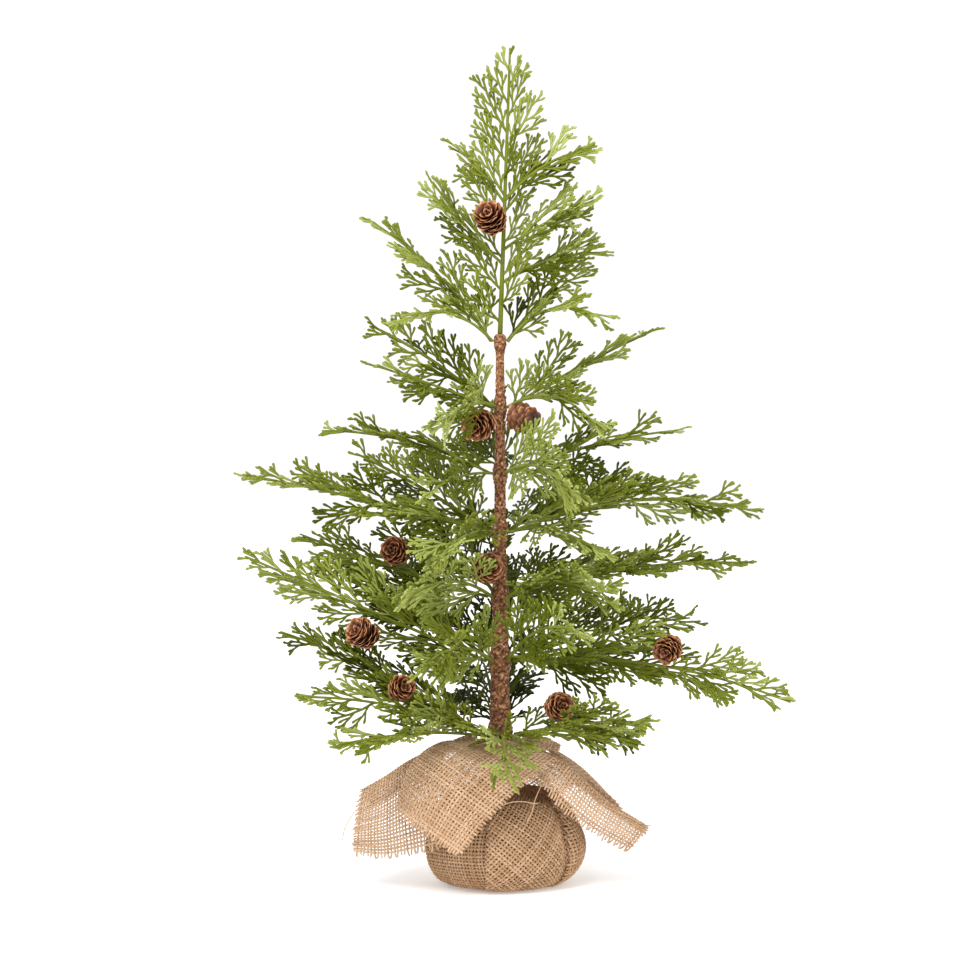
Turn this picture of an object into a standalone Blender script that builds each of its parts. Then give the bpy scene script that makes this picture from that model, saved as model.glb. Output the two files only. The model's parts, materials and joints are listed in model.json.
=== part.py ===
"""Artificial tabletop cedar tree, 24 inches (610 mm) tall, standing in a burlap-wrapped weight.

Frame: metres, +Z up, origin at the centre of the flat underside, front of the tree towards -Y.

The tree is a steel rod set in a cast weight and coated with a bark wrap. Moulded sprays leave the
bark in whorls, each on a wire root that bends up and down, and a leader with five sprigs tops it.
Dried cones are wired to the sprays. One square of burlap is wrapped round the weight from below,
tied at the neck with twine, and its four corners fall outwards as flaps.

Each spray is modelled in a local frame: +X outwards from the trunk, +Z up, origin on the bend.
"""

import math

import bmesh
import bpy
from mathutils import Matrix, Vector

MM = 0.001

# Driving dimensions, in millimetres and degrees.
GAP = 0.35

ROD_RADIUS = 2.0
ROD_BOTTOM = 20.0
ROD_SIDES = 12

WHORL_HEIGHTS = (109.0, 163.0, 210.0, 257.0, 300.0, 348.0, 396.0)
WHORL_RADII = (8.2, 6.8, 5.6, 4.8, 4.2, 3.7, 3.3)
KNOT_SWELL = 1.6
KNOT_HALF_HEIGHT = 5.0
BARK_BOTTOM = 68.5
BARK_FOOT_RADIUS = 8.6
BARK_TOP = WHORL_HEIGHTS[-1] + KNOT_HALF_HEIGHT
BARK_SIDES = 10
ROD_BELOW_BARK_TOP = 1.0

# The sprays of each whorl, from the bottom up: (azimuth, length, rise at the root, droop to the tip).
# Azimuth 0 is +X and 90 is the back. Droop is how far the rib turns down along its length.
WHORLS = (
    (
        (167, 172, 32, 14),
        (198, 146, 25, 24),
        (224, 152, 10, 16),
        (272, 112, 14, 46),
        (320, 122, 16, 14),
        (24, 104, 8, 22),
        (95, 130, 26, 16),
    ),
    (
        (189, 192, 24, 0),
        (138, 172, 28, 8),
        (240, 104, 30, 56),
        (298, 112, 42, 52),
        (346, 206, 7, 28),
        (30, 160, 16, 14),
        (86, 124, 30, 22),
    ),
    (
        (174, 146, 14, -8),
        (232, 106, 30, 56),
        (310, 118, 28, 56),
        (2, 175, 19, 22),
        (58, 142, 18, 18),
        (110, 136, 26, 20),
    ),
    (
        (187, 184, 16, 5),
        (144, 138, 28, 8),
        (242, 96, 10, 44),
        (352, 183, 25, 40),
        (314, 102, 14, 44),
        (48, 124, 22, 16),
    ),
    (
        (174, 129, 28, 28),
        (222, 76, 6, 44),
        (296, 112, 20, 54),
        (7, 129, 23, 18),
        (96, 122, 26, 22),
    ),
    (
        (194, 98, 22, 6),
        (152, 118, 39, 16),
        (244, 90, 14, 46),
        (3, 122, 32, 8),
        (318, 98, 30, 84),
    ),
    (
        (178, 126, 58, 26),
        (212, 92, 48, 84),
        (330, 94, 56, 96),
        (34, 98, 50, 18),
    ),
)

SPRAY_THICKNESS = 2.4
RIB_HALF_WIDTH = 1.6
RIB_STEPS = 12
PAIRS = 5
FIRST_PAIR = 0.24
LAST_PAIR = 0.84
FINGER_BASE = 4.0
FINGER_ANGLE = 38.0
FINGER_TIP_HALF_WIDTH = 1.1
WIDEST_SHARE = 0.2
SHORTEST_FINGER = 6.0
ROOT_GAP = 1.7

# Leader: a stem from the last whorl to the top, leaning a little, and its sprigs as
# (height on the stem, azimuth, length, rise, droop).
LEADER_TOP = 609.6
LEADER_LEAN = 2.0
LEADER_FIRST_PAIR = 0.56
LEADER_WIDEST_SHARE = 0.09
LEADER_SPRIGS = (
    (438.0, 354, 78, 36, 40),
    (452.0, 190, 78, 42, -14),
    (462.0, 338, 80, 34, 18),
    (496.0, 140, 62, 50, 8),
    (498.0, 8, 76, 52, 42),
)
SPRIG_ROLL = 72.0
SPRIG_FIRST_PAIR = 0.4

# Burlap: the gathered neck, the meridian of the sack from the middle of its underside to the top of
# the fold, then the flap from the fold to a corner's hem, as (radius, height).
NECK_RADIUS = 14.5
SACK = (
    (44.0, 0.0),
    (53.5, 7.0),
    (57.5, 22.0),
    (57.0, 40.0),
    (51.0, 57.0),
    (38.0, 72.0),
    (24.0, 82.0),
    (NECK_RADIUS, 88.0),
    (NECK_RADIUS, 97.0),
    (20.0, 103.0),
)
CORNER_FLAP = ((36.0, 101.0), (56.0, 91.0), (76.0, 74.0), (93.0, 52.0), (106.0, 28.0))
CORNER_AZIMUTHS = (84.0, 188.0, 250.0, 350.0)
CORNER_HALF_SPREAD = 34.0
SIDE_FLAP_SHARE = 0.32
BURLAP_THICKNESS = 1.4
BURLAP_SIDES = 30

# Cast weight, inside the sack, from its top edge down to the middle of its underside.
WEIGHT_OUTLINE = (
    (22.0, 64.0),
    (37.0, 58.0),
    (45.0, 47.0),
    (48.5, 36.0),
    (48.5, 20.0),
    (46.0, 8.0),
    (41.0, 2.2),
    (0.0, 2.2),
)
WEIGHT_SIDES = 24

# Neck tie: twine wound round the gathered burlap.
TWINE_RADIUS = 1.2
TWINE_TURNS = 2.0
TIE_HEIGHT = 92.5
TIE_START_AZIMUTH = 290.0
TWINE_POINTS_PER_TURN = 12

# Cones: (whorl, spray, share of its length, sideways, height over the rib, azimuth and elevation of
# the tip). The first hangs on the leader, at this height and this far in front of the stem.
CONE_LENGTH = 25.0
CONE_RADIUS = 11.5
CONE_ROWS = 4
CONE_SIDES = 9
LEADER_CONE_HEIGHT = 483.0
LEADER_CONE_IN_FRONT = 17.0
LEADER_CONE_ASIDE = -9.0
LEADER_CONE_TIP = (262, 6)
CONES = (
    (0, 1, 0.48, 6, 14, 262, 8),
    (0, 4, 0.36, 0, 14, 276, 10),
    (1, 0, 0.51, 2, -19, 228, -30),
    (1, 4, 0.56, 0, 14, 300, 20),
    (2, 0, 0.475, 0, 14, 250, 10),
    (2, 1, 0.14, 4, 15, 262, 16),
    (5, 2, 0.20, -4, -15, 240, -10),
    (5, 4, 0.16, 4, -14.5, 130, 10),
)


def clear_scene():
    for obj in list(bpy.data.objects):
        bpy.data.objects.remove(obj, do_unlink=True)


def material(name, colour, roughness, metallic=0.0):
    made = bpy.data.materials.new(name)
    made.use_nodes = True
    shader = made.node_tree.nodes["Principled BSDF"]
    shader.inputs["Base Color"].default_value = (*colour, 1.0)
    shader.inputs["Roughness"].default_value = roughness
    shader.inputs["Metallic"].default_value = metallic
    return made


def add_object(name, bm, finish, smooth=True):
    """Turns a bmesh in millimetres into a named object in metres."""
    bmesh.ops.scale(bm, vec=(MM, MM, MM), verts=bm.verts)
    bmesh.ops.recalc_face_normals(bm, faces=bm.faces)
    mesh = bpy.data.meshes.new(name)
    bm.to_mesh(mesh)
    bm.free()
    mesh.materials.append(finish)
    if smooth:
        mesh.shade_smooth()
        mesh.set_sharp_from_angle(angle=math.radians(40))
    obj = bpy.data.objects.new(name, mesh)
    bpy.context.scene.collection.objects.link(obj)
    return obj


def lathe(profile, sides):
    """A closed solid turned about Z. A profile that ends on the axis closes there by itself."""
    bm = bmesh.new()
    verts = [bm.verts.new((r, 0, z)) for r, z in profile]
    edges = [bm.edges.new(pair) for pair in zip(verts, verts[1:])]
    if profile[0][0] > 0 and profile[-1][0] > 0:
        edges.append(bm.edges.new((verts[-1], verts[0])))
    bmesh.ops.spin(
        bm,
        geom=verts + edges,
        cent=(0, 0, 0),
        axis=(0, 0, 1),
        angle=math.tau,
        steps=sides,
        use_merge=True,
    )
    bmesh.ops.remove_doubles(bm, verts=bm.verts, dist=0.01)
    return bm


def rib_point(share, length, rise, droop):
    """Position and heading of a rib that leaves the origin at its rise and turns down evenly."""
    x = z = 0.0
    step = length * share / RIB_STEPS
    for i in range(RIB_STEPS):
        heading = math.radians(rise - droop * share * (i + 0.5) / RIB_STEPS)
        x += math.cos(heading) * step
        z += math.sin(heading) * step
    heading = math.radians(rise - droop * share)
    return Vector((x, 0, z)), heading


def half_width(share, length, widest):
    """How far a pair of fingers reaches sideways, widest just before the middle."""
    return widest * length * math.sin(math.pi * min(1.0, 0.22 + 0.74 * share)) + SHORTEST_FINGER


def spray_mesh(length, rise, droop, roll=0.0, first_pair=FIRST_PAIR, widest=WIDEST_SHARE):
    """A flat spray that follows its rib: a strip with pairs of fingers that point forwards."""
    bm = bmesh.new()
    turn = math.radians(roll)

    def place(along, aside):
        share = along / length
        point, heading = rib_point(share, length, rise, droop)
        normal = Vector((-math.sin(heading), 0, math.cos(heading)))
        side = Vector((0, math.cos(turn), 0)) + math.sin(turn) * normal
        return bm.verts.new(point + side * aside)

    span = (LAST_PAIR - first_pair) / (PAIRS - 1)
    shares = [first_pair + span * i for i in range(PAIRS)]
    stations = [0.0, 0.5 * first_pair * length]
    for share in shares:
        stations += [share * length, share * length + FINGER_BASE]
    stations.append(length)
    taper = [RIB_HALF_WIDTH] * (len(stations) - 1) + [FINGER_TIP_HALF_WIDTH]
    rails = {side: [place(a, side * w) for a, w in zip(stations, taper)] for side in (-1, 1)}
    for i in range(len(stations) - 1):
        bm.faces.new((rails[-1][i], rails[-1][i + 1], rails[1][i + 1], rails[1][i]))

    lean = math.radians(FINGER_ANGLE)
    for k, share in enumerate(shares):
        near = 2 + 2 * k
        reach = half_width(share, length, widest)
        ahead = min(reach / math.tan(lean), length * (1 - share) - FINGER_BASE)
        along = share * length + ahead
        for side in (-1, 1):
            inner = place(along + FINGER_TIP_HALF_WIDTH, side * (reach - FINGER_TIP_HALF_WIDTH))
            outer = place(along - FINGER_TIP_HALF_WIDTH, side * (reach + FINGER_TIP_HALF_WIDTH))
            rail = rails[side]
            bm.faces.new((rail[near], rail[near + 1], inner, outer))
    return bm


def add_spray(name, root, azimuth, mesh, finish):
    """Places a spray with its origin on the bend, and gives it its thickness."""
    spray = add_object(name, mesh, finish, smooth=False)
    spray.location = root * MM
    spray.rotation_euler = (0, 0, math.radians(azimuth))
    solid = spray.modifiers.new("thickness", "SOLIDIFY")
    solid.thickness = SPRAY_THICKNESS * MM
    solid.offset = 0.0
    return spray


def outwards(azimuth):
    a = math.radians(azimuth)
    return Vector((math.cos(a), math.sin(a), 0))


def whorl_root(whorl, azimuth):
    """The bend of a spray's wire root, just outside the knot of its whorl."""
    radius = WHORL_RADII[whorl] + KNOT_SWELL + ROOT_GAP
    return outwards(azimuth) * radius + Vector((0, 0, WHORL_HEIGHTS[whorl]))


def spray_label(whorl, spray):
    return f"{whorl + 1}{'abcdefg'[spray]}"


def leader_point(height):
    """A point on the leaning leader's axis."""
    up = height - BARK_TOP
    return Vector((up * math.tan(math.radians(LEADER_LEAN)), 0, height))


def build_weight(finish):
    """The cast block, turned from its outline and the blind socket that the rod stands in."""
    hole = ROD_RADIUS + GAP
    socket = ((0, ROD_BOTTOM - GAP), (hole, ROD_BOTTOM - GAP), (hole, WEIGHT_OUTLINE[0][1]))
    return add_object("weight_block", lathe((*socket, *WEIGHT_OUTLINE), WEIGHT_SIDES), finish)


def build_rod(finish):
    top = BARK_TOP - ROD_BELOW_BARK_TOP
    profile = ((0, ROD_BOTTOM), (ROD_RADIUS, ROD_BOTTOM), (ROD_RADIUS, top), (0, top))
    return add_object("trunk_rod", lathe(profile, ROD_SIDES), finish)


def build_bark(finish):
    """A tapering sleeve over the rod, swollen at each whorl where the wire roots are bound in."""
    bore = ROD_RADIUS + GAP
    flat = 0.6 * KNOT_HALF_HEIGHT
    outer = [(BARK_FOOT_RADIUS, BARK_BOTTOM)]
    for height, radius in zip(WHORL_HEIGHTS, WHORL_RADII):
        outer.append((radius, height - 2 * KNOT_HALF_HEIGHT))
        outer.append((radius + KNOT_SWELL, height - flat))
        outer.append((radius + KNOT_SWELL, height + flat))
        if height < WHORL_HEIGHTS[-1]:
            outer.append((radius, height + 2 * KNOT_HALF_HEIGHT))
    outer.append((WHORL_RADII[-1], BARK_TOP))
    profile = [(bore, BARK_BOTTOM), *outer, (bore, BARK_TOP)]
    return add_object("trunk_bark", lathe(profile, BARK_SIDES), finish)


def flap_share(azimuth):
    """How much of the corner flap's fall the hem has at this azimuth: 1 at a corner, least between."""
    away = min(abs((azimuth - corner + 180) % 360 - 180) for corner in CORNER_AZIMUTHS)
    closeness = max(0.0, 1 - away / CORNER_HALF_SPREAD)
    return SIDE_FLAP_SHARE + (1 - SIDE_FLAP_SHARE) * closeness**0.8


def along_flap(share):
    """(radius, height) at a share of the way along the corner flap, from the fold."""
    points = (SACK[-1], *CORNER_FLAP)
    place = share * (len(points) - 1)
    i = min(int(place), len(points) - 2)
    t = place - i
    return tuple(a + (b - a) * t for a, b in zip(points[i], points[i + 1]))


def build_burlap(finish):
    """The wrapped cloth as one thin shell: underside, sack, neck, fold and flaps."""
    bm = bmesh.new()
    rings = []
    for radius, height in SACK:
        ring = []
        for k in range(BURLAP_SIDES):
            direction = outwards(360.0 * k / BURLAP_SIDES)
            ring.append(bm.verts.new(direction * radius + Vector((0, 0, height))))
        rings.append(ring)
    for row in range(1, len(CORNER_FLAP) + 1):
        ring = []
        for k in range(BURLAP_SIDES):
            azimuth = 360.0 * k / BURLAP_SIDES
            radius, height = along_flap(flap_share(azimuth) * row / len(CORNER_FLAP))
            ring.append(bm.verts.new(outwards(azimuth) * radius + Vector((0, 0, height))))
        rings.append(ring)
    bm.faces.new(list(reversed(rings[0])))
    for lower, upper in zip(rings, rings[1:]):
        for k in range(BURLAP_SIDES):
            nxt = (k + 1) % BURLAP_SIDES
            bm.faces.new((lower[k], lower[nxt], upper[nxt], upper[k]))
    burlap = add_object("burlap_wrap", bm, finish)
    solid = burlap.modifiers.new("thickness", "SOLIDIFY")
    solid.thickness = BURLAP_THICKNESS * MM
    solid.offset = 1.0
    return burlap


def build_tie(finish):
    """Twine wound twice round the neck, as a helix with filled ends."""
    radius = (NECK_RADIUS + TWINE_RADIUS + GAP) / math.cos(math.pi / TWINE_POINTS_PER_TURN)
    pitch = 2 * TWINE_RADIUS + GAP
    bottom = TIE_HEIGHT - TWINE_TURNS * pitch / 2
    count = int(TWINE_TURNS * TWINE_POINTS_PER_TURN) + 1
    curve = bpy.data.curves.new("neck_tie", "CURVE")
    curve.dimensions = "3D"
    curve.bevel_depth = TWINE_RADIUS * MM
    curve.bevel_resolution = 1
    curve.use_fill_caps = True
    spline = curve.splines.new("POLY")
    spline.points.add(count - 1)
    for i, point in enumerate(spline.points):
        turn = i / TWINE_POINTS_PER_TURN
        spot = outwards(TIE_START_AZIMUTH + 360 * turn) * radius + Vector((0, 0, bottom + pitch * turn))
        point.co = (*(spot * MM), 1.0)
    curve.materials.append(finish)
    obj = bpy.data.objects.new("neck_tie", curve)
    bpy.context.scene.collection.objects.link(obj)
    return obj


def build_sprays(finish):
    for w, sprays in enumerate(WHORLS):
        for k, (azimuth, length, rise, droop) in enumerate(sprays):
            mesh = spray_mesh(length, rise, droop)
            add_spray(f"spray_{spray_label(w, k)}", whorl_root(w, azimuth), azimuth, mesh, finish)


def build_leader(finish):
    root = Vector((0, 0, BARK_TOP + ROOT_GAP))
    length = (LEADER_TOP - root.z) / math.cos(math.radians(LEADER_LEAN))
    mesh = spray_mesh(length, 90 - LEADER_LEAN, 0, 90, LEADER_FIRST_PAIR, LEADER_WIDEST_SHARE)
    add_spray("leader", root, 0, mesh, finish)
    stem = RIB_HALF_WIDTH + 2 * GAP + SPRAY_THICKNESS / 2
    for k, (height, azimuth, length, rise, droop) in enumerate(LEADER_SPRIGS):
        root = leader_point(height) + outwards(azimuth) * stem
        mesh = spray_mesh(length, rise, droop, roll=SPRIG_ROLL, first_pair=SPRIG_FIRST_PAIR)
        add_spray(f"leader_sprig_{k + 1}", root, azimuth, mesh, finish)


def cone_mesh():
    """A small dried cone about its middle, tip towards +X, with its rows of scales as steps."""
    profile = [(0.0, 0.0)]
    for i in range(CONE_ROWS):
        t = (i + 0.5) / CONE_ROWS
        bulge = CONE_RADIUS * math.sin(math.pi * (0.18 + 0.74 * t)) ** 0.7
        profile.append((bulge * 0.82, CONE_LENGTH * i / CONE_ROWS + 1.0))
        profile.append((bulge, CONE_LENGTH * (i + 0.8) / CONE_ROWS))
    profile.append((0.0, CONE_LENGTH))
    bm = lathe(profile, CONE_SIDES)
    bmesh.ops.translate(bm, vec=(0, 0, -CONE_LENGTH / 2), verts=bm.verts)
    bmesh.ops.rotate(bm, matrix=Matrix.Rotation(math.pi / 2, 3, "Y"), verts=bm.verts)
    return bm


def add_cone(name, middle, azimuth, elevation, finish):
    cone = add_object(name, cone_mesh(), finish)
    cone.location = middle * MM
    cone.rotation_euler = (0, -math.radians(elevation), math.radians(azimuth))


def build_cones(finish):
    middle = leader_point(LEADER_CONE_HEIGHT) + Vector((LEADER_CONE_ASIDE, -LEADER_CONE_IN_FRONT, 0))
    add_cone("cone_leader", middle, *LEADER_CONE_TIP, finish)
    for whorl, spray, share, aside, over, tip_azimuth, elevation in CONES:
        azimuth, length, rise, droop = WHORLS[whorl][spray]
        rib, _ = rib_point(share, length, rise, droop)
        local = rib + Vector((0, aside, over))
        middle = whorl_root(whorl, azimuth) + Matrix.Rotation(math.radians(azimuth), 3, "Z") @ local
        add_cone(f"cone_{spray_label(whorl, spray)}", middle, tip_azimuth, elevation, finish)


def main():
    clear_scene()
    cement = material("cement", (0.46, 0.45, 0.43), 0.9)
    steel = material("steel", (0.42, 0.42, 0.44), 0.4, 1.0)
    bark = material("bark", (0.30, 0.15, 0.09), 0.9)
    foliage = material("foliage", (0.19, 0.29, 0.06), 0.55)
    burlap = material("burlap", (0.52, 0.34, 0.19), 0.95)
    twine = material("twine", (0.55, 0.38, 0.22), 0.95)
    cone = material("cone", (0.23, 0.09, 0.04), 0.7)
    build_weight(cement)
    build_rod(steel)
    build_bark(bark)
    build_burlap(burlap)
    build_tie(twine)
    build_sprays(foliage)
    build_leader(foliage)
    build_cones(cone)


main()
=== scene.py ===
"""Looks for the artificial tabletop cedar tree in a burlap-wrapped weight.

Every spray, the leader, its sprigs, the cones, the bark and the burlap are built here round the
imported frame. Lengths are in metres, +Z is up and the front of the tree faces -Y.
"""

import json
import math
import random

import bpy
import numpy as np
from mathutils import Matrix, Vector


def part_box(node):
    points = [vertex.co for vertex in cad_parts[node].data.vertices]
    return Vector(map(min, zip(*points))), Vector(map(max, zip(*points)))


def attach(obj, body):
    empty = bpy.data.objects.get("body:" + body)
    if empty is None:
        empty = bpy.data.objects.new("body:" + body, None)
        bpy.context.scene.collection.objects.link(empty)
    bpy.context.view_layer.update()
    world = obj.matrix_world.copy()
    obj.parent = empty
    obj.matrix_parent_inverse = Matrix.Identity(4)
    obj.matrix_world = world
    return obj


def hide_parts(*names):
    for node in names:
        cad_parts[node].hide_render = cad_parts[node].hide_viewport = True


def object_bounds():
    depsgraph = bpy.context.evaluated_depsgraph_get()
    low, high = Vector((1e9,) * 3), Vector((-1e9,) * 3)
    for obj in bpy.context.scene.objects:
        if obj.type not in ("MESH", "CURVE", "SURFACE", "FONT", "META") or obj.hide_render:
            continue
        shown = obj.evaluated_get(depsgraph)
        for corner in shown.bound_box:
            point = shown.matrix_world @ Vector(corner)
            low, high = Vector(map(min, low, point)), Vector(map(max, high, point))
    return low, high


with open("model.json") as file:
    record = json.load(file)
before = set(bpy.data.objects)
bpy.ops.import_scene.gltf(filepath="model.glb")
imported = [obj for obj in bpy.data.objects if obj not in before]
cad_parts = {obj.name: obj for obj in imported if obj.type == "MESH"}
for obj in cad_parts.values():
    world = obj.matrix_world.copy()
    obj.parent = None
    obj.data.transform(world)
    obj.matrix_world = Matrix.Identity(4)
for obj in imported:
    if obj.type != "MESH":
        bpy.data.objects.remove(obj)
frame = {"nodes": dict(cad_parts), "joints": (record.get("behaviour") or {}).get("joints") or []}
cad_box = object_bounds()

MM = 0.001
UP = np.array((0.0, 0.0, 1.0))
FRONT = np.array((0.0, -1.0, 0.0))

# -------- looks of the sprays

# Each spray's turn about its rib in degrees, its width against the usual one, and its seed.
SPRAY_LOOKS = {
    "1a": (15, 0.6, 2), "1b": (-30, 0.6, 1), "1c": (15, 0.6, 1), "1d": (-30, 0.8, 1),
    "1e": (-20, 0.95, 1), "1f": (15, 0.8, 2), "1g": (0, 1.05, 2), "2a": (45, 0.6, 1),
    "2b": (-75, 0.8, 2), "2c": (45, 1.05, 1), "2d": (-60, 0.8, 1), "2e": (-45, 0.6, 2),
    "2f": (30, 0.8, 1), "2g": (-75, 1.05, 2), "3a": (-30, 0.8, 2), "3b": (45, 1.05, 1),
    "3c": (-45, 1.05, 1), "3d": (0, 0.6, 1), "3e": (0, 0.6, 1), "3f": (-30, 1.05, 1),
    "4a": (0, 0.6, 1), "4b": (-75, 0.8, 2), "4c": (45, 1, 1), "4d": (-30, 0.6, 2), "4e": (-15, 0.8, 1),
    "4f": (-15, 1.05, 1), "5a": (-15, 0.6, 1), "5b": (15, 0.8, 2), "5c": (-75, 1.05, 1),
    "5d": (0, 0.6, 1), "5e": (-75, 1.05, 2), "6a": (0, 0.6, 1), "6b": (-75, 0.6, 1),
    "6c": (60, 1.05, 2), "6d": (15, 0.6, 2), "6e": (-30, 0.8, 2), "7a": (-30, 0.6, 1),
    "7b": (0, 0.6, 2), "7c": (15, 0.6, 2), "7d": (75, 0.6, 2),
}
LEADER_SEED = 20
LEADER_TOP = 0.6096
LEADER_LEAN = math.radians(2.0)
# Sprigs on the leader: height of the joint, azimuth, length, rise, droop, turn about the rib, seed.
LEADER_SPRIGS = {
    "leader_sprig_1": (0.438, 354, 0.078, 36, 40, -15, 3),
    "leader_sprig_2": (0.452, 190, 0.078, 42, -14, 15, 2),
    "leader_sprig_3": (0.462, 338, 0.080, 34, 18, 40, 1),
    "leader_sprig_4": (0.496, 140, 0.062, 50, 8, 15, 2),
    "leader_sprig_5": (0.498, 8, 0.076, 52, 42, 65, 1),
}

# Half-widths of the moulded stems, and how flat they are.
STEM_RADIUS = 1.45 * MM
FROND_RADIUS = 0.98 * MM
TWIG_RADIUS = 0.82 * MM
TIP_RADIUS = 0.76 * MM
CLUB_RADIUS = 1.22 * MM
FLATNESS = 0.74
# How far apart the stems fork, where the first fork is, and the angles at which they leave.
FROND_PITCH = 8.0 * MM
TWIG_PITCH = 5.9 * MM
TIP_PITCH = 5.0 * MM
BARE_ROOT = 7.0 * MM
FIRST_TWIG = 4.5 * MM
FIRST_TIP = 4.6 * MM
FROND_LEAN = (31, 43)
TWIG_LEAN = (27, 38)
TIP_LEAN = (25, 36)
# A stem curves back towards the way it came by these shares of its lean.
FROND_CURVE = -0.55
TWIG_CURVE = -0.6
TIP_CURVE = -0.55
# How long they are: a frond by its share of the spray, the others at most.
FROND_SHARE = 0.46
LONGEST_TWIG = 25.0 * MM
LONGEST_TIP = 9.5 * MM
SHORTEST_FORKED_TWIG = 7.5 * MM
# Wild fronds stand out of the spray's plane by these angles, in radians, and are darker.
WILD_TWIST = (0.7, 1.5)
WILD_SHADE = 0.16
USUAL_TWIST = 0.36
FROND_TONE_SPREAD = 0.10
# Each stem's rings, as shares of its length, and its radius at each ring: it ends in a club.
TWIG_RINGS = np.array((0.0, 0.38, 0.72, 0.91, 1.0))
TWIG_RADII = np.array((1.05, 1.0, 1.05, 0, 0)) * TWIG_RADIUS + np.array((0, 0, 0, 1.0, 0.55)) * CLUB_RADIUS
TIP_RINGS = np.array((0.0, 0.52, 0.86, 1.0))
TIP_RADII = np.array((1.0, 1.05, 0, 0)) * TIP_RADIUS + np.array((0, 0, 0.93, 0.5)) * CLUB_RADIUS


def unit(v):
    return v / (math.sqrt(v @ v) + 1e-12)


def cross(a, b):
    return np.array(
        (a[1] * b[2] - a[2] * b[1], a[2] * b[0] - a[0] * b[2], a[0] * b[1] - a[1] * b[0])
    )


def turned(vector, axis, angle):
    """vector turned about the unit axis by angle, in radians."""
    c, s = math.cos(angle), math.sin(angle)
    return vector * c + cross(axis, vector) * s + axis * ((axis @ vector) * (1 - c))


def point_at(path, rings, share):
    """(place, heading) at share of a path's length."""
    i = max(0, min(int(np.searchsorted(rings, share)) - 1, len(rings) - 2))
    t = (share - rings[i]) / (rings[i + 1] - rings[i])
    step = path[i + 1] - path[i]
    return path[i] + step * t, unit(step)


def fork(ahead, normal, lean, twist):
    """(heading, normal) of a stem that leaves at lean, in a plane turned by twist."""
    local = turned(normal, ahead, twist)
    local = unit(local - ahead * (local @ ahead))
    return turned(ahead, local, lean), local


def alternate(rng, side, first, last, pitch, spread=(0.85, 1.15)):
    """(place, side) of each fork along a stem: about a pitch apart, on one side and then the other."""
    place = first
    while place < last:
        yield place, side
        side = -side
        place += pitch * rng.uniform(*spread)


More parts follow.
